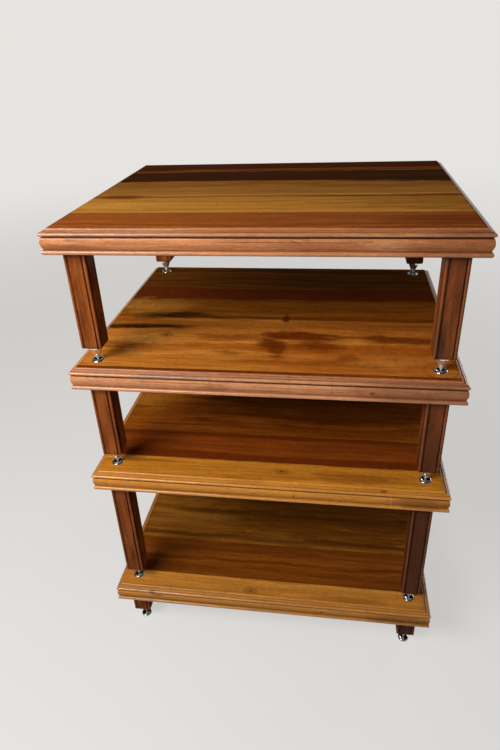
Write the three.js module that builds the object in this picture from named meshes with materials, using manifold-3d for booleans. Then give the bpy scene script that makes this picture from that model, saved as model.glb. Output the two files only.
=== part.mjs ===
// Stacking audio rack in solid timber: four moulded shelves, each carried on its own square legs.
// Every leg ends in a metal cone spike that stands in a dished metal shoe on the shelf below.
// Millimetres, +Z up, front towards -Y, origin on the floor under the middle of the shelves.
import * as THREE from 'three';
import { mergeVertices } from 'three/addons/utils/BufferGeometryUtils.js';
import Module from 'manifold-3d';

const wasm = await Module();
wasm.setup();

// Shelf slab, over the lip of the moulding
const shelfWidth = 600;
const shelfDepth = 486;
const shelfThickness = 36.5;

// Clear heights: under the base shelf, then the three bays from the bottom up
const floorClearance = 81.5;
const lowerBayHeight = 247;
const middleBayHeight = 168;
const topBayHeight = 182;

// Edge moulding, from the underside up: bead, long bulge, quirk, lip, low roll and top roll
const beadDiameter = 7.2;
const bulgeInset = 0.5;
const bulgeFootSag = 3.3;
const bulgeHeadSag = 1.5;
const bulgeCrownShare = 0.59;
const quirkHeight = 1.9;
const quirkInset = 4.2;
const lipHeight = 5.6;
const lipDepth = 3.4;
const lowStepHeight = 0.4;
const lowStepDepth = 0.3;
const lowRollHeight = 1;
const lowRollDepth = 4.4;
const topStepHeight = 0.6;
const topStepDepth = 0.3;
const topRollHeight = 2.9;
const topRollDepth = 3.8;
const beadSteps = 8;
const bulgeSteps = 7;
const lipSteps = 8;
const rollSteps = 4;

// Legs, square over their corner beads, with a stub tenon glued into the shelf
const legSize = 33;
const legInset = 37;
const cornerBeadDiameter = 4.8;
const cornerQuirkWidth = 1.8;
const cornerQuirkDepth = 1.7;
const cornerBeadSteps = 6;
const footRoundWidth = 3;
const footRoundHeight = 5;
const footRoundSteps = 3;
const tenonSize = 18;
const tenonLength = 14;
const tenonChamfer = 1.5;
const glueGap = 0.3;

// Cone spikes: a band that seats against the leg, the cone below it and a stud above it
const spikeDiameter = 20.4;
const bandHeight = 4.5;
const bandChamfer = 0.6;
const coneLength = 21.5;
const tipDiameter = 1.2;
const studDiameter = 8;
const studLength = 18;
const studChamfer = 1;
const studClearance = 0.3;
const boreEndGap = 2;
const spikeFacets = 16;
const boreFacets = 12;

// Spike shoes: dished discs, let into the shelf below or standing on the floor
const shoeDiameter = 20;
const shoeThickness = 4;
const rimRoundWidth = 2.4;
const rimRoundHeight = 2.2;
const rimRoundSteps = 3;
const dishDiameter = 14.6;
const dishDepth = 1.8;
const dishFlatDiameter = 2.4;
const recessDepth = 2.5;
const recessClearance = 0.3;
const tipGap = 0.3;
const shoeFacets = 16;

// Working values for cuts and welds
const cutOverrun = 2;
const mergeDistance = 0.0001;

// Worked-out sizes
const spikeLength = bandHeight + coneLength;
const tipAboveShoeBase = shoeThickness - dishDepth + tipGap;
const legX = shelfWidth / 2 - legInset;
const legY = shelfDepth / 2 - legInset;

const walnut = new THREE.MeshStandardMaterial({ color: 0xa8642c, roughness: 0.38, metalness: 0 });
const legWood = new THREE.MeshStandardMaterial({ color: 0x8a4a26, roughness: 0.42, metalness: 0 });
const polishedSteel = new THREE.MeshStandardMaterial({ color: 0xd6d8da, roughness: 0.12, metalness: 1 });
const chromedDisc = new THREE.MeshStandardMaterial({ color: 0xc9cccf, roughness: 0.1, metalness: 1 });

// A closed geometry as a solid that can be joined and cut
function solidOf(geometry) {
  const bare = geometry.clone();
  bare.deleteAttribute('normal');
  bare.deleteAttribute('uv');
  const merged = mergeVertices(bare, mergeDistance);
  const corners = merged.index.array;
  const kept = [];
  for (let i = 0; i < corners.length; i += 3) {
    const [a, b, c] = [corners[i], corners[i + 1], corners[i + 2]];
    if (a !== b && b !== c && c !== a) kept.push(a, b, c);
  }
  const mesh = new wasm.Mesh({
    numProp: 3,
    vertProperties: new Float32Array(merged.attributes.position.array),
    triVerts: new Uint32Array(kept),
  });
  return new wasm.Manifold(mesh);
}

// A solid back as a geometry
function geometryOf(solid) {
  const mesh = solid.getMesh();
  const geometry = new THREE.BufferGeometry();
  geometry.setAttribute('position', new THREE.BufferAttribute(mesh.vertProperties, 3));
  geometry.setIndex(new THREE.BufferAttribute(mesh.triVerts, 1));
  geometry.computeVertexNormals();
  return geometry;
}

// A solid lofted through level rectangles, each given as its half width, half depth and height
function loftRectangles(levels) {
  const points = [];
  const faces = [];
  for (const { halfX, halfY, z } of levels) {
    points.push(-halfX, -halfY, z, halfX, -halfY, z, halfX, halfY, z, -halfX, halfY, z);
  }
  faces.push(0, 2, 1, 0, 3, 2);
  for (let level = 0; level + 1 < levels.length; level += 1) {
    const low = level * 4;
    const high = low + 4;
    for (let side = 0; side < 4; side += 1) {
      const next = (side + 1) % 4;
      faces.push(low + side, low + next, high + next, low + side, high + next, high + side);
    }
  }
  const top = (levels.length - 1) * 4;
  faces.push(top, top + 1, top + 2, top, top + 2, top + 3);
  const geometry = new THREE.BufferGeometry();
  geometry.setAttribute('position', new THREE.Float32BufferAttribute(points, 3));
  geometry.setIndex(faces);
  return solidOf(geometry);
}

// A straight square block from one height to another
function squareBlock(size, low, high) {
  const half = size / 2;
  return loftRectangles([
    { halfX: half, halfY: half, z: low },
    { halfX: half, halfY: half, z: high },
  ]);
}

// An upright round cutter whose flats, not its corners, stand at the radius
function roundCutter(radius, low, high, facets) {
  const cornerRadius = radius / Math.cos(Math.PI / facets);
  const geometry = new THREE.CylinderGeometry(cornerRadius, cornerRadius, high - low, facets);
  geometry.rotateX(Math.PI / 2);
  geometry.translate(0, 0, (low + high) / 2);
  return solidOf(geometry);
}

// A turned piece from an outline of radius and height that starts and ends on the axis, going up
function turned(outline, facets) {
  const points = outline.map(([radius, z]) => new THREE.Vector2(radius, z));
  const geometry = new THREE.LatheGeometry(points, facets);
  geometry.rotateX(Math.PI / 2);
  return geometryOf(solidOf(geometry));
}

// Moulding outline from the underside to the top, as the inset from the lip and the height
function mouldingOutline() {
  const outline = [];
  const beadRadius = beadDiameter / 2;
  for (let i = 0; i <= beadSteps; i += 1) {
    const angle = Math.PI * (i / beadSteps - 0.5);
    outline.push([beadRadius * (1 - Math.cos(angle)), beadRadius * (1 + Math.sin(angle))]);
  }
  const aboveBulge = quirkHeight + lipHeight + lowStepHeight + lowRollHeight + topStepHeight + topRollHeight;
  const bulgeHeight = shelfThickness - beadDiameter - aboveBulge;
  for (let i = 0; i <= bulgeSteps; i += 1) {
    const share = i / bulgeSteps;
    const fromCrown = share - bulgeCrownShare;
    const sag = fromCrown < 0
      ? bulgeFootSag * (fromCrown / bulgeCrownShare) ** 2
      : bulgeHeadSag * (fromCrown / (1 - bulgeCrownShare)) ** 2;
    outline.push([bulgeInset + sag, beadDiameter + share * bulgeHeight]);
  }
  const quirkBase = beadDiameter + bulgeHeight;
  const lipBase = quirkBase + quirkHeight;
  outline.push([quirkInset, quirkBase], [quirkInset, lipBase]);
  for (let i = 0; i <= lipSteps; i += 1) {
    const angle = Math.PI * (i / lipSteps - 0.5);
    outline.push([lipDepth * (1 - Math.cos(angle)), lipBase + (lipHeight / 2) * (1 + Math.sin(angle))]);
  }
  const lowRollBase = lipBase + lipHeight + lowStepHeight;
  const lowRollStart = lipDepth + lowStepDepth;
  outline.push([lipDepth, lowRollBase]);
  outline.push(...quarterRoll(lowRollStart, lowRollBase, lowRollDepth, lowRollHeight));
  const topRollBase = lowRollBase + lowRollHeight + topStepHeight;
  const topRollStart = lowRollStart + lowRollDepth + topStepDepth;
  outline.push([lowRollStart + lowRollDepth, topRollBase]);
  outline.push(...quarterRoll(topRollStart, topRollBase, topRollDepth, topRollHeight));
  return outline;
}

// A convex quarter round that starts upright at its foot and ends level
function quarterRoll(inset, base, depth, height) {
  const points = [];
  for (let i = 0; i <= rollSteps; i += 1) {
    const angle = (Math.PI / 2) * (i / rollSteps);
    points.push([inset + depth * (1 - Math.cos(angle)), base + height * Math.sin(angle)]);
  }
  return points;
}

// The slab with its moulding run round all four edges and mitred at the corners
function mouldedSlab() {
  return loftRectangles(mouldingOutline().map(([inset, z]) => ({
    halfX: shelfWidth / 2 - inset,
    halfY: shelfDepth / 2 - inset,
    z,
  })));
}

const legPlaces = [
  { name: 'front_left', x: -legX, y: -legY },
  { name: 'front_right', x: legX, y: -legY },
  { name: 'rear_left', x: -legX, y: legY },
  { name: 'rear_right', x: legX, y: legY },
];

// A shelf: the slab, mortised below for the legs and, under another tier, recessed above for shoes
function shelfGeometry(carriesShoes) {
  let slab = mouldedSlab();
  const mortise = squareBlock(tenonSize + 2 * glueGap, -cutOverrun, tenonLength + glueGap);
  const recessRadius = shoeDiameter / 2 + recessClearance;
  const recessFloor = shelfThickness - recessDepth;
  const recess = roundCutter(recessRadius, recessFloor, shelfThickness + cutOverrun, shoeFacets);
  for (const { x, y } of legPlaces) {
    slab = slab.subtract(mortise.translate([x, y, 0]));
    if (carriesShoes) slab = slab.subtract(recess.translate([x, y, 0]));
  }
  return geometryOf(slab);
}

// Leg section: flat faces, and at each corner a round bead between two quirks
function legSection() {
  const half = legSize / 2;
  const beadRadius = cornerBeadDiameter / 2;
  const beadCentre = half - beadRadius;
  const quirkEdge = half - cornerBeadDiameter - cornerQuirkWidth;
  const quirkFloor = half - cornerQuirkDepth;
  const openAngle = Math.acos((beadRadius - cornerQuirkDepth) / beadRadius);
  const corner = [new THREE.Vector2(half, quirkEdge), new THREE.Vector2(quirkFloor, quirkEdge)];
  for (let i = 0; i <= cornerBeadSteps; i += 1) {
    const angle = -openAngle + (Math.PI / 2 + 2 * openAngle) * (i / cornerBeadSteps);
    corner.push(new THREE.Vector2(
      beadCentre + beadRadius * Math.cos(angle),
      beadCentre + beadRadius * Math.sin(angle),
    ));
  }
  corner.push(new THREE.Vector2(quirkEdge, quirkFloor), new THREE.Vector2(quirkEdge, half));
  const outline = [];
  const middle = new THREE.Vector2();
  for (let turn = 0; turn < 4; turn += 1) {
    outline.push(...corner.map((point) => point.clone().rotateAround(middle, (turn * Math.PI) / 2)));
  }
  return new THREE.Shape(outline);
}

// A leg that hangs from its shoulder at height zero, with its foot's edges rounded over, the tenon
// above and the stud bore below
function legGeometry(length) {
  const shaft = new THREE.ExtrudeGeometry(legSection(), { depth: length, bevelEnabled: false });
  shaft.translate(0, 0, -length);
  const half = legSize / 2;
  const levels = [];
  for (let i = 0; i <= footRoundSteps; i += 1) {
    const angle = (Math.PI / 2) * (i / footRoundSteps);
    const side = half - footRoundWidth * (1 - Math.sin(angle));
    levels.push({ halfX: side, halfY: side, z: footRoundHeight * (1 - Math.cos(angle)) - length });
  }
  levels.push({ halfX: half, halfY: half, z: 0 });
  const envelope = loftRectangles(levels);
  const tenonHalf = tenonSize / 2;
  const tenon = loftRectangles([
    { halfX: tenonHalf, halfY: tenonHalf, z: -cutOverrun },
    { halfX: tenonHalf, halfY: tenonHalf, z: tenonLength - tenonChamfer },
    { halfX: tenonHalf - tenonChamfer, halfY: tenonHalf - tenonChamfer, z: tenonLength },
  ]);
  const boreTop = studLength + boreEndGap - length;
  const bore = roundCutter(studDiameter / 2 + studClearance, -length - cutOverrun, boreTop, boreFacets);
  return geometryOf(solidOf(shaft).intersect(envelope).add(tenon).subtract(bore));
}

// A spike with its seat against the leg at height zero
function spikeGeometry() {
  const radius = spikeDiameter / 2;
  return turned([
    [0, -spikeLength],
    [tipDiameter / 2, -spikeLength],
    [radius, -bandHeight],
    [radius, -bandChamfer],
    [radius - bandChamfer, 0],
    [studDiameter / 2, 0],
    [studDiameter / 2, studLength - studChamfer],
    [studDiameter / 2 - studChamfer, studLength],
    [0, studLength],
  ], spikeFacets);
}

// A shoe with its underside at height zero, its rim rounded over and its top dished
function shoeGeometry() {
  const radius = shoeDiameter / 2;
  const outline = [[0, 0], [radius, 0]];
  for (let i = 0; i <= rimRoundSteps; i += 1) {
    const angle = (Math.PI / 2) * (i / rimRoundSteps);
    outline.push([
      radius - rimRoundWidth * (1 - Math.cos(angle)),
      shoeThickness - rimRoundHeight * (1 - Math.sin(angle)),
    ]);
  }
  outline.push([dishDiameter / 2, shoeThickness]);
  outline.push([dishFlatDiameter / 2, shoeThickness - dishDepth], [0, shoeThickness - dishDepth]);
  return turned(outline, shoeFacets);
}

function place(geometry, material, name, parent, x, y, z) {
  const mesh = new THREE.Mesh(geometry, material);
  mesh.name = name;
  mesh.position.set(x, y, z);
  parent.add(mesh);
}

const rack = new THREE.Group();
const plainShelf = shelfGeometry(false);
const recessedShelf = shelfGeometry(true);
const spike = spikeGeometry();
const shoe = shoeGeometry();

// Tiers from the floor up; each stands on the surface below it and carries the next
const tiers = [
  { name: 'base', clearBelow: floorClearance, standsOn: 'floor', shoeSink: 0 },
  { name: 'lower', clearBelow: lowerBayHeight, standsOn: 'base', shoeSink: recessDepth },
  { name: 'upper', clearBelow: middleBayHeight, standsOn: 'lower', shoeSink: recessDepth },
  { name: 'top', clearBelow: topBayHeight, standsOn: 'upper', shoeSink: recessDepth },
];

let surface = 0;
for (const { name, clearBelow, standsOn, shoeSink } of tiers) {
  const tier = new THREE.Group();
  tier.position.z = surface + clearBelow;
  rack.add(tier);
  const legLength = clearBelow + shoeSink - tipAboveShoeBase - spikeLength;
  const leg = legGeometry(legLength);
  place(name === 'top' ? plainShelf : recessedShelf, walnut, `shelf_${name}`, tier, 0, 0, 0);
  for (const { name: corner, x, y } of legPlaces) {
    place(leg, legWood, `leg_${name}_${corner}`, tier, x, y, 0);
    place(spike, polishedSteel, `spike_${name}_${corner}`, tier, x, y, -legLength);
    place(shoe, chromedDisc, `shoe_${standsOn}_${corner}`, tier, x, y, -clearBelow - shoeSink);
  }
  surface += clearBelow + shelfThickness;
}

export default rack;
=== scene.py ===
# Stacking audio rack in solid timber: four moulded shelves on beaded square legs, whose polished
# cone spikes stand in dished metal shoes.
import math
import random

import bpy
from mathutils import Color, Euler, Matrix, Vector


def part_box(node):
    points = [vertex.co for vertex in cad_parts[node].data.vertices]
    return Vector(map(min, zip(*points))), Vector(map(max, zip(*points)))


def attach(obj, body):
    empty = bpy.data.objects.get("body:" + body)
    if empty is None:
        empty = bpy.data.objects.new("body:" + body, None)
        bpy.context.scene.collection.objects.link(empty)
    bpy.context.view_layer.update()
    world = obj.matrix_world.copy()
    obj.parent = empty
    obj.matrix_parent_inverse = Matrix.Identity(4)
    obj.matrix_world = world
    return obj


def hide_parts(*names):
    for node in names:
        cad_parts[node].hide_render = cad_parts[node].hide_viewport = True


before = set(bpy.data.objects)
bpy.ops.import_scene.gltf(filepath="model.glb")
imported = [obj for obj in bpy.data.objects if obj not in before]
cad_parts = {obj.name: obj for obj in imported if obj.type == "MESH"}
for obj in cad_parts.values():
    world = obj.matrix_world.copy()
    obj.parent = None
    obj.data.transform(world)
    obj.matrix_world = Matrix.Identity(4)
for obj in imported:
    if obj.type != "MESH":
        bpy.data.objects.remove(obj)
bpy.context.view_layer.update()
scene = bpy.context.scene
mm = 0.001
tiers = ("base", "lower", "upper", "top")
corners = ("front_left", "front_right", "rear_left", "rear_right")


# The moulded shelves are slabs of edge-glued boards with one moulding routed round their four edges
# and mitred at the corners. The three lower ones are bored on top for the spike shoes, and all four
# are mortised below for the legs.
shelf_low, shelf_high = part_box("shelf_top")
shelf_width, shelf_depth, shelf_thickness = (shelf_high - shelf_low) / mm
bead_radius = 3.6
bulge_inset = 0.5
bulge_foot_sag = 3.3
bulge_head_sag = 1.5
bulge_crown_share = 0.59
quirk_height = 1.9
quirk_inset = 4.2
lip_height = 5.6
lip_depth = 3.4
low_step_height = 0.4
low_step_depth = 0.3
low_roll_height = 1
low_roll_depth = 4.4
top_step_height = 0.6
top_step_depth = 0.3
top_roll_height = 2.9
top_roll_depth = 3.8
quirk_base = (shelf_thickness - quirk_height - lip_height - low_step_height - low_roll_height
              - top_step_height - top_roll_height)
lip_base = quirk_base + quirk_height
low_roll_base = lip_base + lip_height + low_step_height
top_roll_base = low_roll_base + low_roll_height + top_step_height
top_roll_start = lip_depth + low_step_depth + low_roll_depth + top_step_depth
moulding_inset = top_roll_start + top_roll_depth
mitre_radius = 0.9
mitre_steps = 4
bead_steps = 16
bulge_steps = 16
lip_steps = 14
roll_steps = 8
bore_segments = 64
shading_margin = 0.3
recess_radius = 10.3
recess_depth = 2.5
recess_ease = 0.4
mortise_size = 18.6
mortise_depth = 14.3
weld_distance = 0.002
sharp_angle = math.radians(28)


class Wire:
    """A value that runs between nodes: sums written on it add their Math nodes."""

    def __init__(self, bench, socket):
        self.bench = bench
        self.socket = socket

    def out(self, name):
        return Wire(self.bench, self.socket.node.outputs[name])

    def sum(self, operation, *values):
        return self.bench.add("ShaderNodeMath", {"operation": operation}, dict(enumerate(values)))

    def __add__(self, other):
        return self.sum("ADD", self, other)

    def __sub__(self, other):
        return self.sum("SUBTRACT", self, other)

    def __rsub__(self, other):
        return self.sum("SUBTRACT", other, self)

    def __mul__(self, other):
        return self.sum("MULTIPLY", self, other)

    def __truediv__(self, other):
        return self.sum("DIVIDE", self, other)

    def __pow__(self, other):
        return self.sum("POWER", self, other)

    def __mod__(self, other):
        return self.sum("FLOORED_MODULO", self, other)

    def __gt__(self, other):
        return self.sum("GREATER_THAN", self, other)

    def __abs__(self):
        return self.sum("ABSOLUTE", self)

    __radd__ = __add__
    __rmul__ = __mul__

    def least(self, other):
        return self.sum("MINIMUM", self, other)

    def most(self, other):
        return self.sum("MAXIMUM", self, other)

    def rise(self, start, end):
        """Nothing at start, one at end and a soft slope between them."""
        settings = {"interpolation_type": "SMOOTHSTEP"}
        return self.bench.add("ShaderNodeMapRange", settings, {0: self, 1: start, 2: end})

    def band(self, middle, half, soft):
        """One within half of the middle, falling softly to nothing over soft."""
        return abs(self - middle).rise(half + soft, half)


class Bench:
    """A node tree that is being made, and the one method that adds a node to it."""

    def __init__(self, tree):
        self.tree = tree

    def add(self, kind, settings, values, out=0):
        node = self.tree.nodes.new(kind)
        for name, value in settings.items():
            if name == "stops":
                node.color_ramp.interpolation = "CONSTANT"
                for place, colour in value[2:]:
                    node.color_ramp.elements.new(place)
                for element, (place, colour) in zip(node.color_ramp.elements, value):
                    element.position = place
                    element.color = colour
            else:
                setattr(node, name, value)
        for key, value in values.items():
            if isinstance(value, Wire):
                self.tree.links.new(value.socket, node.inputs[key])
            else:
                node.inputs[key].default_value = value
        return Wire(self, node.outputs[out])

    def end(self, kind, result):
        self.tree.links.new(result.socket, self.tree.nodes.new(kind).inputs[0])

    def join(self, x, y, z):
        return self.add("ShaderNodeCombineXYZ", {}, {0: x, 1: y, 2: z})

    def split(self, vector):
        x = self.add("ShaderNodeSeparateXYZ", {}, {0: vector})
        return x, x.out("Y"), x.out("Z")

    def move(self, operation, *vectors):
        return self.add("ShaderNodeVectorMath", {"operation": operation}, dict(enumerate(vectors)))

    def scale(self, vector, amount):
        return self.add("ShaderNodeVectorMath", {"operation": "SCALE"}, {0: vector, "Scale": amount})

    def blend(self, colour, other, share, kind="MIX"):
        settings = {"data_type": "RGBA", "blend_type": kind}
        return self.add("ShaderNodeMix", settings, {0: share, 6: colour, 7: other}, out=2)


def named_inputs(name, sizes):
    """A new Geometry Nodes tree with its named inputs, as a bench and as wires by name."""
    tree = bpy.data.node_groups.new(name, "GeometryNodeTree")
    sizes = {"Outline": "Geometry", **sizes, "Sharp Angle": "Float", "Weld Distance": "Float",
             "Stock Shift": "Vector", "Place": "Vector", "Material": "Material"}
    for size, kind in sizes.items():
        tree.interface.new_socket(size, in_out="INPUT", socket_type="NodeSocket" + kind)
    tree.interface.new_socket("Geometry", in_out="OUTPUT", socket_type="NodeSocketGeometry")
    entry = tree.nodes.new("NodeGroupInput")
    bench = Bench(tree)
    return bench, {size: Wire(bench, entry.outputs[size]) for size in sizes}


def outline_point(bench, outline, index):
    """The three numbers that the host's outline holds at one of its points."""
    place = bench.add("GeometryNodeInputPosition", {}, {})
    settings = {"data_type": "FLOAT_VECTOR", "domain": "POINT"}
    return bench.split(bench.add("GeometryNodeSampleIndex", settings, {0: outline, 1: place, 2: index}))


def grid_skin(bench, wires, columns, rows, place_point):
    """A grid of columns round the piece and rows up it, each point placed by the piece's own rule."""
    grid = bench.add("GeometryNodeMeshGrid", {}, {"Vertices X": columns, "Vertices Y": rows})
    index = bench.add("GeometryNodeInputIndex", {}, {})
    row = index % rows
    column = ((index - row) / rows) % (columns - 1)
    skin = bench.add("GeometryNodeSetPosition", {}, {0: grid, "Position": place_point(column, row)})
    return bench.add("GeometryNodeMergeByDistance", {}, {0: skin, "Distance": wires["Weld Distance"]})


def cut(bench, solid, cutter):
    settings = {"operation": "DIFFERENCE", "solver": "EXACT"}
    return bench.add("GeometryNodeMeshBoolean", settings, {0: solid, 1: cutter})


def finish_tree(bench, wires, skin):
    """Sharpens the arrises, notes each point's place in the stock for the material, and puts the
    piece in its place."""
    arris = bench.add("GeometryNodeInputMeshEdgeAngle", {}, {}) > wires["Sharp Angle"]
    skin = bench.add("GeometryNodeSetShadeSmooth", {"domain": "FACE"}, {0: skin, 2: True})
    skin = bench.add("GeometryNodeSetShadeSmooth", {"domain": "EDGE"}, {0: skin, 1: arris, 2: False})
    stock = bench.move("ADD", bench.add("GeometryNodeInputPosition", {}, {}), wires["Stock Shift"])
    settings = {"data_type": "FLOAT_VECTOR", "domain": "POINT"}
    noted = {0: skin, "Name": "stock", "Value": stock}
    skin = bench.add("GeometryNodeStoreNamedAttribute", settings, noted)
    skin = bench.add("GeometryNodeSetPosition", {}, {0: skin, "Offset": wires["Place"]})
    skin = bench.add("GeometryNodeRealizeInstances", {}, {0: skin})
    skin = bench.add("GeometryNodeSetMaterial", {}, {0: skin, "Material": wires["Material"]})
    bench.end("NodeGroupOutput", skin)
    return bench.tree


def shape_piece(name, outline, tree, sizes):
    """Hangs the tree on a host that holds the outline, and keeps the plain mesh that comes out."""
    host = bpy.data.objects.new(name, bpy.data.meshes.new(name))
    host.data.from_pydata([Vector(point) * mm for point in outline], [], [])
    scene.collection.objects.link(host)
    modifier = host.modifiers.new(tree.name, "NODES")
    modifier.node_group = tree
    sizes = {"Sharp Angle": sharp_angle, "Weld Distance": weld_distance * mm, **sizes}
    for socket in tree.interface.items_tree:
        if socket.name in sizes:
            modifier[socket.identifier] = sizes[socket.name]
    shaped = host.evaluated_get(bpy.context.evaluated_depsgraph_get())
    mesh = bpy.data.meshes.new_from_object(shaped)
    host.modifiers.remove(modifier)
    host.data = mesh
    return host


def moulded_slab_tree():
    """Runs the outline (inset, mitre radius, height) round the slab, then mortises and bores it. At a
    corner, the first and last point lie a margin before and after the mitre's round."""
    bench, wires = named_inputs("moulding round a slab", {
        "Half Width": "Float", "Half Depth": "Float", "Mitre Steps": "Int", "Margin Share": "Float",
        "Leg Spread X": "Float", "Leg Spread Y": "Float", "Slab Height": "Float", "Bored": "Bool",
        "Recess Radius": "Float", "Recess Depth": "Float", "Recess Ease": "Float",
        "Mortise Size": "Float", "Mortise Depth": "Float",
    })
    steps = wires["Mitre Steps"]
    per_corner = steps + 3
    rows = bench.add("GeometryNodeAttributeDomainSize", {}, {0: wires["Outline"]})

    def place_point(column, row):
        inset, radius, height = outline_point(bench, wires["Outline"], row)
        step = column % per_corner
        corner = (column - step) / per_corner
        angle = (corner + (step - 1).most(0).least(steps) / steps) * (math.pi / 2)
        lead = ((step > steps + 1.5) + (step > 0.5) - 1) * (radius * wires["Margin Share"])
        right = 1 - 2 * ((corner > 0.5) - (corner > 2.5))
        back = 1 - 2 * (corner > 1.5)
        cosine = angle.sum("COSINE", angle)
        sine = angle.sum("SINE", angle)
        return bench.join(
            right * (wires["Half Width"] - inset - radius) + cosine * radius - sine * lead,
            back * (wires["Half Depth"] - inset - radius) + sine * radius + cosine * lead,
            height)

    def at_legs(cutter, height):
        places = bench.add("GeometryNodeMeshGrid", {}, {
            "Size X": wires["Leg Spread X"], "Size Y": wires["Leg Spread Y"],
            "Vertices X": 2, "Vertices Y": 2})
        places = bench.add("GeometryNodeSetPosition", {}, {0: places, "Offset": bench.join(0, 0, height)})
        cutters = bench.add("GeometryNodeInstanceOnPoints", {}, {"Points": places, "Instance": cutter})
        return bench.add("GeometryNodeRealizeInstances", {}, {0: cutters})

    slab = grid_skin(bench, wires, per_corner * 4 + 1, rows, place_point)
    side = wires["Mortise Size"]
    block_size = bench.join(side, side, wires["Mortise Depth"] * 2)
    block = bench.add("GeometryNodeMeshCube", {}, {"Size": block_size})
    slab = cut(bench, slab, at_legs(block, 0))
    drill = bench.add("GeometryNodeMeshCylinder", {}, {
        "Vertices": bore_segments, "Radius": wires["Recess Radius"], "Depth": wires["Recess Depth"] * 2})
    ease = wires["Recess Ease"]
    countersink = bench.add("GeometryNodeMeshCone", {}, {
        "Vertices": bore_segments, "Radius Top": wires["Recess Radius"] + ease * 2,
        "Radius Bottom": wires["Recess Radius"], "Depth": ease * 2})
    bored = cut(bench, slab, at_legs(drill, wires["Slab Height"]))
    bored = cut(bench, bored, at_legs(countersink, wires["Slab Height"] - ease))
    settings = {"input_type": "GEOMETRY"}
    slab = bench.add("GeometryNodeSwitch", settings, {0: wires["Bored"], 1: slab, 2: bored})
    return finish_tree(bench, wires, slab)


def arc(middle, radii, start, end, steps):
    """Points on a round stretch of an outline, from one angle in degrees to another."""
    angles = [math.radians(start + (end - start) * step / steps) for step in range(steps + 1)]
    return [(middle[0] + radii[0] * math.cos(a), middle[1] + radii[1] * math.sin(a)) for a in angles]


def moulding_outline():
    """The moulding from the underside up, as insets from the lip and heights."""
    outline = [(bead_radius + shading_margin, 0)]
    outline += arc((bead_radius, bead_radius), (-bead_radius, bead_radius), -90, 90, bead_steps)
    for step in range(bulge_steps + 1):
        share = step / bulge_steps
        from_crown = share - bulge_crown_share
        if from_crown < 0:
            sag = bulge_foot_sag * (from_crown / bulge_crown_share) ** 2
        else:
            sag = bulge_head_sag * (from_crown / (1 - bulge_crown_share)) ** 2
        outline.append((bulge_inset + sag, bead_radius * 2 + share * (quirk_base - bead_radius * 2)))
    outline += [(quirk_inset, quirk_base), (quirk_inset, lip_base)]
    lip_middle = (lip_depth, lip_base + lip_height / 2)
    outline += arc(lip_middle, (-lip_depth, lip_height / 2), -90, 90, lip_steps)
    outline.append((lip_depth, low_roll_base))
    low_roll_end = lip_depth + low_step_depth + low_roll_depth
    outline += arc((low_roll_end, low_roll_base), (-low_roll_depth, low_roll_height), 0, 90, roll_steps)
    outline.append((low_roll_end, top_roll_base))
    outline += arc((moulding_inset, top_roll_base), (-top_roll_depth, top_roll_height), 0, 90, roll_steps)
    outline.append((moulding_inset + shading_margin, shelf_thickness))
    return outline


spine_inset = shelf_depth / 2
slab_outline = [(spine_inset, 0, 0)]
slab_outline += [(inset, mitre_radius, height) for inset, height in moulding_outline()]
slab_outline += [(spine_inset, 0, shelf_thickness)]


def colour(code):
    """A written colour as the light it stands for."""
    return [*Color([byte / 255 for byte in bytes.fromhex(code)]).from_srgb_to_scene_linear(), 1]


def new_material(name):
    material = bpy.data.materials.new(name)
    material.use_nodes = True
    material.node_tree.nodes.clear()
    return material, Bench(material.node_tree)


def stock_place(bench):
    """The point's place in the board or bar that the piece was cut from, in millimetres."""
    stock = bench.add("ShaderNodeAttribute", {"attribute_name": "stock"}, {}, out="Vector")
    return bench.scale(stock, 1 / mm)


def lumps(bench, place, size, seed, detail=2, roughness=0.5):
    """Noise round zero whose lumps measure about size along each axis."""
    drift = [seed * share for share in (0.71, 1.37, 2.11)]
    place = bench.move("MULTIPLY_ADD", place, [1 / side for side in size], drift)
    noise = bench.add("ShaderNodeTexNoise", {}, {"Vector": place, "Scale": 1, "Detail": detail,
                                                 "Roughness": roughness})
    return noise * 2 - 1


# Sizes in the log, along the trunk, across it and deep: its sway and lean, the rings' wobble, the
# stretches where the rings show, the flakes, curl, fibre, flecks and pores. Then the widths of a
# colour zone, a spell of fast or slow growth and a year, how strongly zones and flakes show, how much
# rings, fibre, flecks, pores and end grain darken, the relief under the lacquer and its rougher spots.
sway_size, sway_reach = (420, 150, 120), 30
lean_size, lean_reach = (330, 120, 160), 22
wobble_size, wobble_reach = (54, 15, 15), 6
clear_size = (190, 24, 24)
flake_size = (130, 8, 11)
curl_size = (13, 22, 30)
fibre_size = (80, 2.6, 2.6)
fleck_size = (8, 2, 2)
pore_size = (13, 0.45, 0.45)
zone_width = 15
spell_width = 26
year_width = 4.3
zone_strength, flake_strength = 0.7, 0.7
late_wood_end = 0.92
clear_start, clear_full = -0.25, 0.4
pore_start, pore_full = 0.22, 0.48
spell_years = 5
ring_shade, fibre_shade, fleck_shade, pore_shade = 0.4, 0.34, 0.3, 0.25
end_grain_tone = "d2ab8a"
grain_relief, grain_bump = 0.06, 0.5
fibre_rough, pore_rough, end_grain_rough, coat_rough = 0.05, 0.1, 0.08, 0.2


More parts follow.
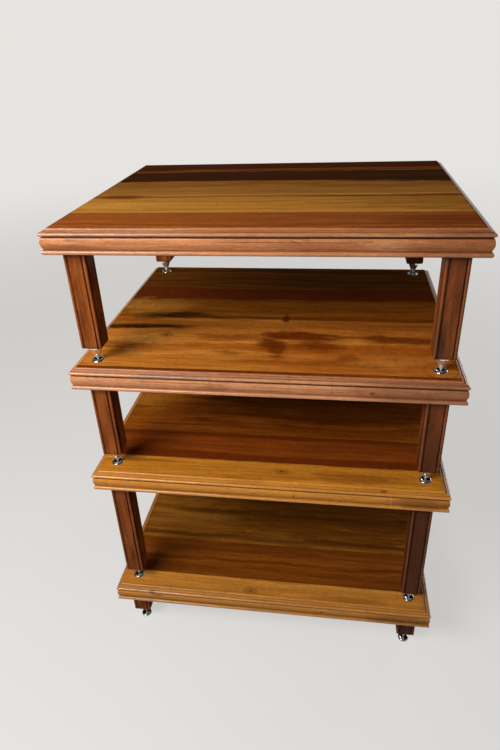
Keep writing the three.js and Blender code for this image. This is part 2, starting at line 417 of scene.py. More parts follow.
def growth(bench, place, seed):
    """What grew in the log, from a place whose X runs up the trunk and whose Y and Z are measured from
    the pith: colour zones, year rings, fibre, flecks, pores and curl, each as a mask."""
    along, across, deep = bench.split(place)
    sway = lumps(bench, place, sway_size, seed) * sway_reach
    lean = lumps(bench, place, lean_size, seed + 5) * lean_reach
    wobble = lumps(bench, place, wobble_size, seed + 9, detail=4, roughness=0.6) * wobble_reach
    from_pith = hypot(across + sway, deep + lean) + wobble
    along_ray = {"noise_dimensions": "1D"}
    zones = bench.add("ShaderNodeTexNoise", along_ray, {
        "W": from_pith / zone_width + seed, "Scale": 1, "Detail": 3, "Roughness": 0.6})
    pace = bench.add("ShaderNodeTexNoise", along_ray, {
        "W": from_pith / spell_width + seed * 3, "Scale": 1})
    year = (from_pith / year_width + pace * spell_years) % 1
    clear = lumps(bench, place, clear_size, seed + 13).rise(clear_start, clear_full)
    flakes = lumps(bench, place, flake_size, seed + 7, detail=4, roughness=0.66)
    return {
        "zone": 0.5 + (zones * 2 - 1) * zone_strength + flakes * flake_strength,
        "ring": year ** 4 * year.rise(1, late_wood_end) * clear,
        "fibre": lumps(bench, place, fibre_size, seed + 2, detail=5, roughness=0.78),
        "fleck": lumps(bench, place, fleck_size, seed + 6, roughness=0.6),
        "pore": lumps(bench, place, pore_size, seed + 3, detail=1).rise(pore_start, pore_full),
        "curl": lumps(bench, place, curl_size, seed + 4, detail=4, roughness=0.6),
    }


def timber_finish(bench, tint, figure, end_grain, curl_strength, shine, lacquer):
    """Lays the figure over the timber's colour under a clear satin lacquer."""
    shade = 1 + figure["curl"] * curl_strength - figure["ring"] * ring_shade
    shade = (shade - figure["fibre"] * fibre_shade - figure["fleck"] * fleck_shade
             - figure["pore"] * pore_shade)
    tint = bench.scale(tint, shade)
    tint = bench.blend(tint, bench.blend(tint, colour(end_grain_tone), 1, "MULTIPLY"), end_grain)
    height = figure["fibre"] * 0.5 - figure["pore"] - figure["ring"] * 0.5
    bump = bench.add("ShaderNodeBump", {}, {
        "Strength": grain_bump, "Distance": grain_relief * mm, "Height": height})
    rough = (shine + figure["fibre"] * fibre_rough + figure["pore"] * pore_rough
             + end_grain * end_grain_rough)
    shader = bench.add("ShaderNodeBsdfPrincipled", {}, {
        "Base Color": tint, "Roughness": rough, "Normal": bump, "Specular IOR Level": 0,
        "Coat Weight": lacquer, "Coat Roughness": coat_rough})
    bench.end("ShaderNodeOutputMaterial", shader)


def hypot(x, y):
    return (x * x + y * y) ** 0.5


# How a shelf's boards were picked: the log's length, and how far from its heart they came. Then how
# streaks, clouds, knots, marks, glue lines, the moulding's painted light and the painted shade in its
# lines fade, how patchy that shade is, and the lacquer on the flat, on the moulding and on what stands
# proud of it.
seed_range = (10, 60)
log_length, log_spread = 4000, 160
heart_clearance, heart_spread = 40, 110
drift_size = (110, 22, 40)
ragged_size = (46, 5, 5)
streak_fade = 40
cloud_drift, cloud_ragged, cloud_edge, cloud_core = 1.1, 0.9, 1.35, 0.45
mark_ragged, mark_edge, mark_core = 0.7, 1.4, 0.6
mark_band_edge, mark_band_core = 10, 5
knot_stretch, knot_core, knot_strength = 1.7, 0.3, 0.9
collar_place, collar_half_width, collar_strength = 1.5, 0.2, 0.35
glue_tone, glue_strength = "2c1408", 0.45
glue_half_width, glue_fade = 0.15, 0.5
painted_edge_light_start, painted_edge_light_full, painted_edge_light_strength = 1, 5, 0.7
edge_curl_loss, edge_fibre_gain = 0.6, 0.6
end_grain_start, end_grain_full = 0.35, 0.9
shade_patch_level, shade_patch_change, least_shade_patch = 0.75, 0.9, 0.35
crease_shade_tone = "2c1106"
crease_shade_half_width, crease_shade_fade, bead_shade_fade, flat_shade_fade = 0.3, 0.5, 0.9, 0.7
bead_shade, low_step_shade, top_step_shade, flat_shade = 0.6, 0.9, 0.8, 0.55
flat_lacquer, edge_lacquer, proud_lacquer = 0.015, 0.2, 0.75


def shelf_timber(tier, painted_edge_light, crease_shade_depth, curl, boards, streaks, clouds, marks, knots=(), rings=()):
    """Boards glued edge to edge. Each has its own tones and its own place in a log, and the streaks,
    knots, clouds, rings and marks lie where this shelf has them."""
    material, bench = new_material(tier + " shelf timber")
    place = stock_place(bench)
    along, across, up = bench.split(place)
    draw = random.Random(tier)
    seed = draw.uniform(*seed_range)
    drift = lumps(bench, place, drift_size, seed + 20, detail=4, roughness=0.6)
    ragged = lumps(bench, place, ragged_size, seed + 24, detail=4, roughness=0.65)
    share = (across / shelf_depth + 0.5).least(0.999)
    light, dark, log = [], [], []
    for front_edge, light_tone, dark_tone in boards:
        start = max(front_edge / shelf_depth + 0.5, 0)
        light.append((start, colour(light_tone)))
        dark.append((start, colour(dark_tone)))
        log.append((start, (draw.random(), draw.random(), draw.random(), 1)))
    light = bench.add("ShaderNodeValToRGB", {"stops": light}, {0: share})
    dark = bench.add("ShaderNodeValToRGB", {"stops": dark}, {0: share})
    log_x, log_y, log_z = bench.split(bench.add("ShaderNodeValToRGB", {"stops": log}, {0: share}))
    in_log = bench.join(along + log_x * log_length, across + (log_y - 0.5) * log_spread,
                        up + heart_clearance + log_z * heart_spread)
    figure = growth(bench, in_log, seed)
    tint = bench.blend(light, dark, (figure["zone"] + figure["curl"] * curl).least(1).most(0))
    for tone, strength, start, end, line, half, soft, waver in streaks:
        path = across + drift * waver + ragged * (soft / 3)
        reach = (along.rise(start - streak_fade, start + streak_fade)
                 * along.rise(end + streak_fade, end - streak_fade))
        tint = bench.blend(tint, colour(tone), path.band(line, half, soft) * reach * strength)
    for tone, strength, middle, line, half_length, half_width in clouds:
        away = hypot((along - middle) / half_length, (across - line) / half_width)
        away = away + drift * cloud_drift + ragged * cloud_ragged
        tint = bench.blend(tint, colour(tone), away.rise(cloud_edge, cloud_core) * strength)
    for tone, knot_along, knot_across, size in knots:
        away = hypot((along - knot_along) / knot_stretch, across - knot_across) + drift * (size / 3)
        eye = away.rise(size, size * knot_core) * knot_strength
        collar = away.band(size * collar_place, size * collar_half_width, size) * collar_strength
        tint = bench.blend(tint, colour(tone), (eye + collar).least(1))
    for tone, strength, middle, line, radius, width in rings:
        round_it = hypot(along - middle, across - line).band(radius, width / 2, width)
        tint = bench.blend(tint, colour(tone), round_it * (drift + 0.5).least(1).most(0) * strength)
    for front_edge, light_tone, dark_tone in boards[1:]:
        glue_line = across.band(front_edge, glue_half_width, glue_fade)
        tint = bench.blend(tint, colour(glue_tone), glue_line * glue_strength)
    edge_inset = (shelf_width / 2 - abs(along)).least(shelf_depth / 2 - abs(across))
    # Painted light: the moulding is painted paler than the same boards on top, standing in for the light
    # and sheen that its faces catch from the lamp in front.
    moulded = edge_inset.rise(moulding_inset - painted_edge_light_start, moulding_inset - painted_edge_light_full)
    moulded = moulded * up.rise(0, 1)
    tint = bench.blend(tint, colour(painted_edge_light), moulded * painted_edge_light_strength)
    figure["curl"] = figure["curl"] * (1 - moulded * edge_curl_loss)
    figure["fibre"] = figure["fibre"] * (1 + moulded * edge_fibre_gain)
    front = across.rise(mark_band_edge - shelf_depth / 2, mark_band_core - shelf_depth / 2)
    for tone, strength, middle, height, half_length, half_height in marks:
        away = hypot((along - middle) / half_length, (up - height) / half_height) + ragged * mark_ragged
        tint = bench.blend(tint, colour(tone), away.rise(mark_edge, mark_core) * front * strength)
    facing = bench.add("ShaderNodeTexCoord", {}, {}, out="Normal")
    turn_x, turn_y, turn_z = bench.split(facing)
    end_grain = abs(turn_x).rise(end_grain_start, end_grain_full)
    # Painted shade: dark lines in the quirk, under the bead, at the two steps and where the moulding meets
    # the flat top, where these hollows and steps fall into shade; patchier in places.
    shade_patchiness = (shade_patch_level + drift * shade_patch_change).least(1).most(least_shade_patch)
    crease_shade = (up.band(quirk_base + quirk_height / 2, quirk_height / 2, crease_shade_fade)
            + up.band(bead_radius * 2, crease_shade_half_width, bead_shade_fade) * bead_shade
            + up.band(low_roll_base, crease_shade_half_width, crease_shade_fade) * low_step_shade * shade_patchiness
            + up.band(top_roll_base, crease_shade_half_width, crease_shade_fade) * top_step_shade * shade_patchiness).least(1)
    crease_shade = crease_shade * edge_inset.rise(top_roll_start + 1, top_roll_start)
    crease_shade = crease_shade + edge_inset.band(moulding_inset, crease_shade_half_width, flat_shade_fade) * flat_shade * shade_patchiness
    tint = bench.blend(tint, colour(crease_shade_tone), crease_shade * crease_shade_depth)
    proud = up.rise(lip_base - 0.5, lip_base + 0.5) + up.rise(bead_radius * 2, bead_radius * 2 - 1)
    lacquer = flat_lacquer + moulded * (edge_lacquer + proud * proud_lacquer)
    timber_finish(bench, tint, figure, end_grain, curl, shine=0.29, lacquer=lacquer)
    return material


# Boards from the front edge back, each as where its front edge lies, its light and its dark tone.
# Streaks as tone, strength, start and end along the shelf, line, half width, softness and waver.
# Knots as tone, place along, place across and size. Clouds, on the top, as tone, strength, place
# along, place across, half length and half width. Rings worn round a shoe as tone, strength, place
# along, place across, radius and width. Marks, on the front edge, as tone, strength, place along,
# height, half length and half height.
shelf_looks = {
    "top": {
        "painted_edge_light": "d49060",
        "crease_shade_depth": 0.85,
        "curl": 0.16,
        "boards": [(-243, "bd6a2c", "8a4216"), (-157, "df9a3e", "b9742a"), (-58, "c4853a", "94591a"),
                   (150, "6c2e08", "4c2005")],
        "streaks": [("451d08", 0.96, -340, 340, 106, 41, 4, 10), ("94561f", 0.75, -200, 340, 166, 5, 4, 8),
                    ("94561f", 0.5, -340, -100, 158, 3, 5, 8), ("e3a755", 0.6, -200, 340, -43, 1, 3, 8),
                    ("8b4916", 0.6, -340, 340, -55, 1.2, 5, 12), ("6c330f", 0.6, 60, 340, -55, 2.5, 5, 12),
                    ("5a2a0c", 0.75, 60, 340, -101, 0.7, 1.2, 3)],
        "clouds": [("451d08", 0.95, 300, 66, 190, 22), ("74360f", 0.75, -242, -57, 44, 11),
                   ("f0b050", 0.3, -250, -110, 90, 26), ("6a2c0a", 0.5, 280, -198, 130, 34),
                   ("8a5216", 0.45, 290, -100, 140, 50)],
        "marks": [("9c5830", 0.55, 85, 14, 62, 5), ("e0a878", 0.25, 168, 16, 26, 6),
                  ("96563a", 0.6, -265, 11, 60, 4), ("a0603a", 0.4, -60, 13, 70, 3),
                  ("743c1c", 0.7, 50, 19.5, 100, 0.8), ("743c1c", 0.6, 95, 9.6, 66, 0.7),
                  ("8a4c28", 0.5, -170, 17, 60, 0.9), ("8a4c28", 0.5, 230, 12, 50, 0.9),
                  ("8a4824", 0.5, 285, 16, 90, 26)],
    },
    "upper": {
        "painted_edge_light": "e8a272",
        "crease_shade_depth": 0.75,
        "curl": 0.56,
        "boards": [(-243, "8e4214", "5c2608"), (-227, "e0913a", "a65611"), (-38, "a5641c", "6c380a"),
                   (111, "7d4814", "4f2a07")],
        "streaks": [("64270c", 0.9, -340, 340, 81, 25, 9, 14), ("351a06", 0.97, -330, -140, -77, 5, 6, 14),
                    ("351a06", 0.9, -260, -190, -76, 9, 5, 10),
                    ("7d430f", 0.5, -340, 340, -62, 10, 8, 18), ("4c240a", 0.6, -150, 340, -33, 2, 8, 10),
                    ("b4661c", 0.5, -120, 340, -86, 3, 6, 12), ("7a3a12", 0.5, -60, 340, -196, 3, 8, 18)],
        "knots": [("4e220c", -177, -111, 3.4)],
        # The second cloud below, 8e4210, is painted shade: it darkens the middle and right where the top
        # shelf shades this one.
        "clouds": [("ae5414", 0.55, 170, -150, 230, 74), ("8e4210", 0.4, 170, -10, 230, 30),
                   ("3c1d09", 0.95, -185, -24, 74, 18), ("4c240b", 0.85, 22, -36, 7, 22),
                   ("6c2a06", 0.9, 62, -104, 78, 15), ("6c2a06", 0.85, 2, -128, 26, 26),
                   ("703009", 0.8, 18, -152, 15, 32), ("703009", 0.75, 82, -138, 40, 18),
                   ("8a4a12", 0.75, -66, -112, 50, 16), ("e8a24c", 0.6, -215, -130, 44, 20),
                   ("6e2e08", 0.8, 215, -108, 90, 16), ("da8c34", 0.75, 138, -122, 30, 15),
                   ("e0963f", 0.4, 185, -190, 54, 12), ("703009", 0.5, -60, -170, 26, 10),
                   # The last cloud, cf8a34, is painted light: a pool of light on the left, where the lamp
                   # reaches in past the top shelf's end.
                   ("703009", 0.5, 130, -178, 20, 10), ("cf8a34", 0.5, -236, 12, 76, 34)],
        "rings": [("542408", 1, 263, -206, 24, 1.2)],
        "marks": [("8f6f5c", 0.7, -140, 30, 60, 2), ("5e3019", 0.3, 107, 22, 0.9, 16),
                  ("58290f", 0.7, 165, 15, 4, 3), ("8c4f2b", 0.6, 250, 18, 110, 30),
                  ("a0623a", 0.6, -70, 14, 26, 6), ("9a5a34", 0.5, -10, 12, 50, 2),
                  ("8a4a28", 0.6, -120, 20, 70, 0.8), ("8a4a28", 0.5, 60, 18, 80, 0.7)],
    },
    "lower": {
        "painted_edge_light": "d68d3c",
        "crease_shade_depth": 0.55,
        "curl": 0.34,
        "boards": [(-243, "dc9430", "a95e16"), (-185, "944816", "682c09"), (-107, "a65a1a", "6e3409"),
                   (128, "864c12", "583009")],
        "streaks": [("6a2a0c", 0.8, -340, 340, -176, 7, 5, 8), ("5a2a0b", 0.5, -140, 340, 40, 12, 16, 20),
                    ("4c1f06", 0.5, -340, 340, -112, 2, 5, 8),
                    # The next streak, c67f28, is painted light: a golden pool on the left, where the lamp
                    # reaches in past the upper shelf's end.
                    ("c67f28", 0.35, -340, -215, 80, 90, 40, 30)],
        "knots": [("5a2b0d", 27, -207, 3.6)],
        # The first two clouds, 3a1804 and 5e2805, are painted shade: they darken the middle, right and
        # rear, where the upper shelf shades this one.
        "clouds": [("3a1804", 0.55, 120, -10, 290, 60), ("5e2805", 0.45, 110, -95, 250, 40),
                   ("3f1d09", 0.6, -110, 20, 50, 16), ("8a4715", 0.6, 150, -216, 90, 12),
                   # The last cloud, 7d3a10, is partly the timber's figure and partly a painted shadow of
                   # the front-left spike and leg.
                   ("7d3a10", 0.4, -200, -196, 50, 6)],
        "marks": [("46210b", 0.9, 50, 13, 1, 3), ("e5b573", 0.4, 207, 15, 1.2, 9),
                  ("8c5123", 0.7, 258, 15, 44, 10), ("54290f", 0.8, 195, 34, 6, 2)],
    },
    "base": {
        "painted_edge_light": "d08c42",
        "crease_shade_depth": 0.6,
        "curl": 0.28,
        "boards": [(-243, "d9933e", "ab6722"), (-196, "914f16", "602c0a"), (-105, "a36620", "6c3c0e"),
                   (110, "8a4f1a", "5c310e")],
        "streaks": [("4a230c", 0.6, -340, 340, -88, 3, 6, 14), ("4f280f", 0.55, -200, 340, -15, 4, 9, 18),
                    ("5c2c10", 0.45, -340, 340, -130, 1.5, 4, 10)],
        "knots": [("5e3112", -35, -224, 3.8)],
        # The first cloud, 4a2204, is painted shade: it darkens the middle, right and rear, where the lower
        # shelf shades this one.
        "clouds": [("4a2204", 0.55, 110, -10, 260, 80), ("7a4318", 0.4, 150, -225, 60, 7),
                   # On this line a86c2a is painted light, a pool of light on the left, and 5e2808 is a
                   # painted shadow of the front-left spike and leg.
                   ("a86c2a", 0.5, -180, -40, 80, 20), ("5e2808", 0.5, -225, -180, 60, 14)],
        "marks": [("4a3a2c", 0.8, -227, 29, 6, 3), ("4a260e", 0.8, 102, 16, 3, 2),
                  ("8a582a", 0.6, 250, 14, 60, 12), ("6a3a1c", 0.5, -218, 22, 12, 3)],
    },
}

slab_tree = moulded_slab_tree()
leg_low, leg_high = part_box("leg_top_front_left")
leg_spread = -(leg_low + leg_high)
for tier in tiers:
    low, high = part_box("shelf_" + tier)
    shelf = shape_piece(tier + "_moulded_shelf", slab_outline, slab_tree, {
        "Half Width": shelf_width / 2 * mm, "Half Depth": shelf_depth / 2 * mm, "Mitre Steps": mitre_steps,
        "Margin Share": shading_margin / mitre_radius, "Slab Height": shelf_thickness * mm,
        "Leg Spread X": leg_spread.x, "Leg Spread Y": leg_spread.y, "Bored": tier != "top",
        "Recess Radius": recess_radius * mm, "Recess Depth": recess_depth * mm,
        "Recess Ease": recess_ease * mm, "Mortise Size": mortise_size * mm,
        "Mortise Depth": mortise_depth * mm,
        "Place": (0, 0, low.z), "Material": shelf_timber(tier, **shelf_looks[tier]),
    })
    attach(shelf, tier + "_tier")
    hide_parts("shelf_" + tier)


# The legs are square timber with a bead between two quirks run down each corner, the foot's edges
# rounded over and a bore for the spike's stud. A stub tenon is glued up into the shelf.
leg_size = (leg_high.x - leg_low.x) / mm
corner_bead_radius = 2.4
corner_quirk_width = 1.8
corner_quirk_depth = 1.7
foot_round_width = 3
foot_round_height = 5
tenon_size = 18
tenon_length = 14
tenon_chamfer = 1.5
bore_radius = 4.3
bore_depth = 20
corner_bead_steps = 18
foot_round_steps = 8
stud_bore_segments = 48
from_pith_range = (40, 120)
along_log_range = (0, 4)
leg_light_tone, leg_dark_tone = "9e5425", "52240c"
zone_share, curl_share, patch_share, plain_share = 0.6, 0.4, 0.8, 0.1
right_leg_shade_tone, right_leg_shade_strength, right_leg_shade_fade = "663c2a", 0.4, 0.1
low_right_shade_tone, low_right_shade_strength = "3a2218", 0.6
low_right_start, low_right_full = 0.6, 0.42
smoke_tone, smoke_strength = "3a2a24", 0.65
smoke_ragged, smoke_edge, smoke_core = 0.6, 1.3, 0.5
smoke_x, smoke_y, smoke_z = 253, -229, 656
smoke_half_width = 8
smoke_half_height = 34
bead_tone, bead_strength = "b8703f", 0.2
quirk_shade, quirk_shade_change, least_quirk_shade, most_quirk_shade = 0.6, 0.7, 0.1, 0.9
leg_end_start, leg_end_full = 0.6, 0.95
patch_size = (60, 14, 14)


def leg_section():
    """The leg's outline round its axis: flat faces, and at each corner a bead between two quirks."""
    half = leg_size / 2
    middle = half - corner_bead_radius
    quirk_edge = middle - corner_bead_radius - corner_quirk_width
    quirk_floor = half - corner_quirk_depth
    opening = math.degrees(math.acos((corner_bead_radius - corner_quirk_depth) / corner_bead_radius))
    corner = [(half, quirk_edge - shading_margin), (half, quirk_edge), (quirk_floor, quirk_edge)]
    corner += arc((middle, middle), (corner_bead_radius, corner_bead_radius), -opening, 90 + opening,
                  corner_bead_steps)
    corner += [(quirk_edge, quirk_floor), (quirk_edge, half), (quirk_edge - shading_margin, half)]
    section = []
    for quarter in range(4):
        turn = Matrix.Rotation(math.radians(quarter * 90), 2)
        section += [(*(turn @ Vector(point)), 0) for point in corner]
    return section


def leg_levels(length):
    """Heights up the leg from its foot, each with how far its faces reach from the axis."""
    half = leg_size / 2
    foot = arc((half - foot_round_width, foot_round_height - length),
               (foot_round_width, -foot_round_height), 90, 0, foot_round_steps)
    tenon = tenon_size / 2
    levels = [(0, -length), (half - foot_round_width - shading_margin, -length), *foot,
              (half, foot_round_height + shading_margin - length), (half, 0), (tenon, 0),
              (tenon, tenon_length - tenon_chamfer), (tenon - tenon_chamfer, tenon_length),
              (0, tenon_length)]
    return [(reach, 0, height) for reach, height in levels]


def beaded_leg_tree():
    """Draws the section up through the levels, each of which trims it, and bores the foot."""
    bench, wires = named_inputs("beaded leg", {
        "Levels": "Int", "Section Points": "Int", "Foot Height": "Float", "Bore Radius": "Float",
        "Bore Depth": "Float",
    })

    def place_point(column, row):
        reach, spare, height = outline_point(bench, wires["Outline"], row)
        x, y, spare = outline_point(bench, wires["Outline"], wires["Levels"] + column)
        return bench.join(x.least(reach).most(reach * -1), y.least(reach).most(reach * -1), height)

    leg = grid_skin(bench, wires, wires["Section Points"] + 1, wires["Levels"], place_point)
    drill = bench.add("GeometryNodeMeshCylinder", {}, {
        "Vertices": stud_bore_segments, "Radius": wires["Bore Radius"], "Depth": wires["Bore Depth"] * 2})
    foot = bench.join(0, 0, wires["Foot Height"])
    drill = bench.add("GeometryNodeSetPosition", {}, {0: drill, "Offset": foot})
    return finish_tree(bench, wires, cut(bench, leg, drill))


def leg_timber():
    """Darker and redder than the shelves, and each leg comes from its own place in the log."""
    material, bench = new_material("leg timber")
    across, deep, along = bench.split(stock_place(bench))
    place = bench.join(along, across, deep)
    figure = growth(bench, place, 4)
    patch = lumps(bench, place, patch_size, 31, detail=4, roughness=0.6)
    darkness = (figure["zone"] * zone_share + figure["curl"] * curl_share + patch * patch_share
                + plain_share)
    tint = bench.blend(colour(leg_light_tone), colour(leg_dark_tone), darkness.least(1).most(0))
    x, y, z = bench.split(bench.add("ShaderNodeTexCoord", {}, {}, out="Object"))
    # Painted shade: the legs on the right are painted darker, and those low down on the right darker
    # still, where the light falls off and the shelves above shade them.
    on_right = x.rise(-right_leg_shade_fade, right_leg_shade_fade)
    low_right = on_right * z.rise(low_right_start, low_right_full)
    tint = bench.blend(tint, colour(right_leg_shade_tone), on_right * right_leg_shade_strength)
    tint = bench.blend(tint, colour(low_right_shade_tone), low_right * low_right_shade_strength)
    aside = (x - smoke_x * mm) / (smoke_half_width * mm)
    behind = (y - smoke_y * mm) / (smoke_half_width * 3 * mm)
    above = (z - smoke_z * mm) / (smoke_half_height * mm)
    smoke = hypot(hypot(aside, behind), above) + patch * smoke_ragged
    tint = bench.blend(tint, colour(smoke_tone), smoke.rise(smoke_edge, smoke_core) * smoke_strength)
    # Painted shade: patchy dark lines in the quirks beside each corner bead, where these grooves fall into
    # shade.
    from_axis = abs(abs(x) / mm - leg_spread.x / 2 / mm).least(abs(abs(y) / mm - leg_spread.y / 2 / mm))
    quirk_middle = leg_size / 2 - corner_bead_radius * 2 - corner_quirk_width / 2
    crease_shade = from_axis.band(quirk_middle, corner_quirk_width / 2, crease_shade_fade)
    quirk_shade_amount = (quirk_shade + patch * quirk_shade_change).least(most_quirk_shade).most(least_quirk_shade)
    tint = bench.blend(tint, colour(crease_shade_tone), crease_shade * quirk_shade_amount)
    on_bead = from_axis.rise(quirk_middle + 1, quirk_middle + 2)
    tint = bench.blend(tint, colour(bead_tone), on_bead * bead_strength)
    facing = bench.add("ShaderNodeTexCoord", {}, {}, out="Normal")
    turn_x, turn_y, turn_z = bench.split(facing)
    end_grain = abs(turn_z).rise(leg_end_start, leg_end_full)
    timber_finish(bench, tint, figure, end_grain, curl_strength=0.3, shine=0.36, lacquer=0.12)
    return material


leg_tree = beaded_leg_tree()
leg_material = leg_timber()
for tier in tiers:
    for corner in corners:
        low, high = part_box(f"leg_{tier}_{corner}")
        middle = (low + high) / 2
        shoulder = high.z - tenon_length * mm
        section = leg_section()
        levels = leg_levels((shoulder - low.z) / mm)
        draw = random.Random(tier + corner)
        bearing = draw.uniform(0, 2 * math.pi)
        from_pith = draw.uniform(*from_pith_range) * mm
        along_log = draw.uniform(*along_log_range)
        shift = (from_pith * math.cos(bearing), from_pith * math.sin(bearing), along_log)
        leg = shape_piece(f"{tier}_{corner}_beaded_leg", levels + section, leg_tree, {
            "Levels": len(levels), "Section Points": len(section), "Foot Height": low.z - shoulder,
            "Bore Radius": bore_radius * mm, "Bore Depth": bore_depth * mm, "Stock Shift": shift,
            "Place": (middle.x, middle.y, shoulder), "Material": leg_material,
        })
        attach(leg, tier + "_tier")
        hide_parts(f"leg_{tier}_{corner}")


# The cone spikes are turned steel, polished bright: a band that seats against the leg's foot, a long
# cone to a blunt point, and a threaded stud that screws up into the leg.
spike_low, spike_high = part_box("spike_top_front_left")
spike_radius = (spike_high.x - spike_low.x) / 2 / mm
band_height = 4.5
band_ease = 0.6
shoulder_inset = 0.35
shoulder_drop = 0.75
cone_length = 21.5
tip_radius = 0.6
tip_end_angle = -24
tip_steps = 5
band_ease_steps = 6
stud_radius = 4
stud_length = 18
stud_chamfer = 1
thread_pitch = 1.25
thread_depth = 0.7
thread_steps = 110
turned_segments = 64
rub_start = -11
rub_full = -19
smear_size = (6, 6, 9)
smear_tone, smear_strength = "a9a49c", 0.4
smear_start, smear_full = 0.1, 0.7
line_rough, smear_rough = 0.04, 0.05
turning_bump = 0.4
turning_relief = 0.008


def turned_tree():
    """Turns the outline (radius, thread depth, height) round its axis and cuts the thread, a groove
    that climbs one pitch a turn."""
    bench, wires = named_inputs("turned on a lathe", {"Segments": "Int", "Thread Pitch": "Float"})
    rows = bench.add("GeometryNodeAttributeDomainSize", {}, {0: wires["Outline"]})

    def place_point(column, row):
        radius, depth, height = outline_point(bench, wires["Outline"], row)
        turn = column / wires["Segments"]
        angle = turn * (2 * math.pi)
        climb = (height / wires["Thread Pitch"] - turn) % 1
        radius = radius - depth * abs(climb * 2 - 1)
        return bench.join(radius * angle.sum("COSINE", angle), radius * angle.sum("SINE", angle), height)

    skin = grid_skin(bench, wires, wires["Segments"] + 1, rows, place_point)
    return finish_tree(bench, wires, skin)


def spike_outline():
    foot = -band_height - cone_length
    outline = [(0, foot)]
    outline += arc((0, foot + tip_radius), (tip_radius, tip_radius), -90, tip_end_angle, tip_steps)
    outline += [(spike_radius - shoulder_inset, -band_height - shoulder_drop),
                (spike_radius - shoulder_inset / 3.5, -band_height - shoulder_drop / 3)]
    outline += [(spike_radius, -band_height), (spike_radius, -band_ease)]
    outline += arc((spike_radius - band_ease, -band_ease), (band_ease, band_ease), 0, 90, band_ease_steps)
    outline += [(spike_radius - band_ease - shading_margin, 0), (stud_radius, 0)]
    outline = [(radius, 0, height) for radius, height in outline]
    thread_end = stud_length - stud_chamfer
    for step in range(1, thread_steps + 1):
        height = thread_end * step / thread_steps
        fade = min(1, (thread_end - height) / thread_pitch, height / thread_pitch)
        outline.append((stud_radius, thread_depth * fade, height))
    outline += [(stud_radius - stud_chamfer, 0, stud_length), (0, 0, stud_length)]
    return outline


def polished_metal(name, tone, turning, gloss, brightness, worn_point):
    """Bright metal with the lathe's fine lines, faint handling marks and its own gloss. Where it isn't
    a full mirror, its satin skin takes the light, most of all near a point that has rubbed in a shoe."""
    material, bench = new_material(name)
    place = stock_place(bench)
    x, y, height = bench.split(place)
    radius = hypot(x, y)
    section = bench.join(radius, height, 0)
    lines = lumps(bench, section, (turning, turning, 1), 3, detail=3, roughness=0.6)
    smear = lumps(bench, place, smear_size, 8, detail=4)
    bump = bench.add("ShaderNodeBump", {}, {
        "Strength": turning_bump, "Distance": turning_relief * mm, "Height": lines})
    smeared = smear.rise(smear_start, smear_full) * smear_strength
    tint = bench.blend(colour(tone), colour(smear_tone), smeared)
    rubbed = height.rise(rub_start, rub_full) * worn_point
    rough = gloss + lines * line_rough + smear * smear_rough
    shader = bench.add("ShaderNodeBsdfPrincipled", {}, {
        "Base Color": tint, "Metallic": brightness - rubbed, "Roughness": rough, "Normal": bump})
    bench.end("ShaderNodeOutputMaterial", shader)
    return material


lathe_tree = turned_tree()
spike_material = polished_metal("polished steel", "f2f0ec", turning=0.22, gloss=0.13,
                                brightness=0.84, worn_point=0.5)
for tier in tiers:
    for corner in corners:
        low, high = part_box(f"spike_{tier}_{corner}")
        middle = (low + high) / 2
        spike = shape_piece(f"{tier}_{corner}_cone_spike", spike_outline(), lathe_tree, {
            "Segments": turned_segments, "Thread Pitch": thread_pitch * mm,
            "Place": (middle.x, middle.y, high.z - stud_length * mm), "Material": spike_material,
        })
        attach(spike, f"spike_{tier}_{corner}")
        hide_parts(f"spike_{tier}_{corner}")


# The spike shoes are small turned discs, chromed, with a shallow dish on top that keeps the spike's
# point from wandering. Four stand loose on the floor, the others lie in the shelves' recesses.
shoe_low, shoe_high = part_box("shoe_floor_front_left")
shoe_radius = (shoe_high.x - shoe_low.x) / 2 / mm
shoe_thickness = (shoe_high.z - shoe_low.z) / mm
shoe_foot_ease = 0.3
foot_flat_margin = 0.09
rim_round_width = 2.4
rim_round_height = 2.2
rim_flat_margin = 0.15
dish_radius = 7.3
dish_depth = 1.8
shoe_foot_steps = 4
rim_steps = 12
dish_steps = 12


def shoe_outline():
    bowl = (dish_radius ** 2 + dish_depth ** 2) / (2 * dish_depth)
    reach = math.degrees(math.asin(dish_radius / bowl))
    ease = shoe_foot_ease
    outline = [(0, 0), (shoe_radius - ease - foot_flat_margin, 0)]
    outline += arc((shoe_radius - ease, ease), (ease, ease), -90, 0, shoe_foot_steps)
    outline += arc((shoe_radius - rim_round_width, shoe_thickness - rim_round_height),
                   (rim_round_width, rim_round_height), 0, 90, rim_steps)
    outline += [(dish_radius + rim_flat_margin, shoe_thickness)]
    outline += arc((0, shoe_thickness - dish_depth + bowl), (bowl, bowl), reach - 90, -90, dish_steps)
    return [(abs(radius), 0, height) for radius, height in outline]


shoe_material = polished_metal("chromed disc", "b0b0ac", turning=0.35, gloss=0.12,
                               brightness=1, worn_point=0)
shoe_bodies = {"floor": "base_tier", "base": "base_tier", "lower": "lower_tier", "upper": "upper_tier"}
for surface, body in shoe_bodies.items():
    for corner in corners:
        low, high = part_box(f"shoe_{surface}_{corner}")
        middle = (low + high) / 2
        shoe = shape_piece(f"{surface}_{corner}_dished_shoe", shoe_outline(), lathe_tree, {
            "Segments": turned_segments, "Thread Pitch": thread_pitch * mm,
            "Place": (middle.x, middle.y, low.z), "Material": shoe_material,
        })
        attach(shoe, body)
        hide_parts(f"shoe_{surface}_{corner}")


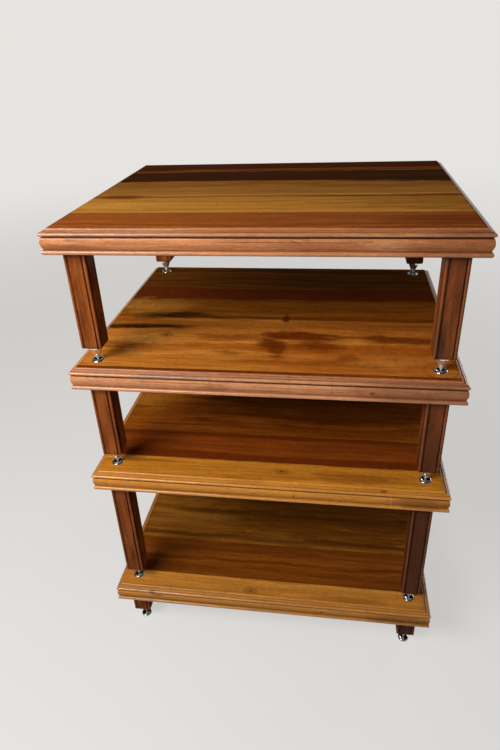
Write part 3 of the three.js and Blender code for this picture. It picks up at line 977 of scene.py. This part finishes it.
# The studio is a plain pale floor that fades out into a pale sky, one soft light in front on the left,
# weak ones on the right and behind, and the camera where the photograph was taken from.
floor_size = 40
floor_fade_start = 1.2
floor_fade_end = 5
unseen_floor_tone, floor_tone, floor_glow_tone = "5c5a57", "e4e2de", "efedea"
glow_share = 0.62
horizon_tone, sky_tone, ceiling_tone = "e6e4e0", "b2b2b1", "1a1a1b"
sky_start, sky_full, seen_sky_lift = 0.06, 0.28, 0.7
ceiling_start, ceiling_full = 0.27, 0.46
fill_strength = 0.1
floor_mesh = bpy.data.meshes.new("studio floor")
half = floor_size / 2
floor_corners = [(-half, -half, 0), (half, -half, 0), (half, half, 0), (-half, half, 0)]
floor_mesh.from_pydata(floor_corners, [], [(0, 1, 2, 3)])
floor = bpy.data.objects.new("studio_floor", floor_mesh)
scene.collection.objects.link(floor)
floor_material, bench = new_material("pale floor")
seen = bench.add("ShaderNodeLightPath", {}, {}, out="Is Camera Ray")
seen = seen.most(seen.out("Is Glossy Ray")).most(seen.out("Is Transmission Ray"))
paint = bench.blend(colour(unseen_floor_tone), colour(floor_tone), seen)
paint = bench.add("ShaderNodeBsdfDiffuse", {}, {"Color": paint})
glow = bench.add("ShaderNodeEmission", {}, {"Color": colour(floor_glow_tone), "Strength": 1})
shown = bench.add("ShaderNodeMixShader", {}, {0: seen * glow_share, 1: paint, 2: glow})
floor_x, floor_y, floor_z = bench.split(bench.add("ShaderNodeTexCoord", {}, {}, out="Object"))
away = hypot(floor_x, floor_y).rise(floor_fade_start, floor_fade_end)
clear = bench.add("ShaderNodeBsdfTransparent", {}, {})
shown = bench.add("ShaderNodeMixShader", {}, {0: away, 1: shown, 2: clear})
bench.end("ShaderNodeOutputMaterial", shown)
floor_mesh.materials.append(floor_material)

# The camera sees a sky that stays pale. Only what the rack reflects has a dark ceiling above it.
world = bpy.data.worlds.new("studio")
world.use_nodes = True
world.node_tree.nodes.clear()
scene.world = world
bench = Bench(world.node_tree)
x, y, height = bench.split(bench.add("ShaderNodeTexCoord", {}, {}, out="Generated"))
seen = bench.add("ShaderNodeLightPath", {}, {}, out="Is Camera Ray")
greyer = height.rise(sky_start, sky_full) * (1 - seen * seen_sky_lift)
sky = bench.blend(colour(horizon_tone), colour(sky_tone), greyer)
sky = bench.blend(sky, colour(ceiling_tone), height.rise(ceiling_start, ceiling_full) * (1 - seen))
seen = seen.most(seen.out("Is Glossy Ray")).most(seen.out("Is Transmission Ray"))
shown = bench.add("ShaderNodeBackground", {}, {"Color": sky, "Strength": 1})
fill = bench.add("ShaderNodeBackground", {}, {"Color": colour("ffffff"), "Strength": fill_strength})
shown = bench.add("ShaderNodeMixShader", {}, {0: seen, 1: fill, 2: shown})
bench.end("ShaderNodeOutputWorld", shown)


def soft_light(name, place, aim, width, height, power):
    lamp = bpy.data.lights.new(name, "AREA")
    lamp.shape = "ELLIPSE"
    lamp.size = width
    lamp.size_y = height
    lamp.energy = power
    light = bpy.data.objects.new(name, lamp)
    turn = (Vector(aim) - Vector(place)).to_track_quat("-Z", "Y").to_matrix().to_4x4()
    light.matrix_world = Matrix.Translation(place) @ turn
    scene.collection.objects.link(light)


soft_light("key light", place=(-0.79, -1.08, 1.3), aim=(0, -0.1, 0.5), width=1.1, height=0.5, power=23)
soft_light("right fill", place=(2.4, -1.2, 1.6), aim=(0, 0, 0.4), width=1.6, height=1.6, power=1.5)
soft_light("rear fill", place=(2.7, 2.9, 1.1), aim=(0, 0, 0.4), width=2, height=2, power=34)

camera_place = Vector((106.8, -971.6, 1029.8)) * mm
camera_yaw = 9.393
camera_down_tilt = 29.686
camera_roll = -2.6
camera_lens = 27.7
lens = bpy.data.cameras.new("camera")
lens.lens = camera_lens
camera = bpy.data.objects.new("camera", lens)
turns = ((0, 0, camera_yaw), (90 - camera_down_tilt, 0, 0), (0, 0, camera_roll))
aim = Matrix.Identity(4)
for turn in turns:
    aim = aim @ Euler([math.radians(angle) for angle in turn]).to_matrix().to_4x4()
camera.matrix_world = Matrix.Translation(camera_place) @ aim
scene.collection.objects.link(camera)
scene.camera = camera
scene.view_settings.view_transform = "Standard"
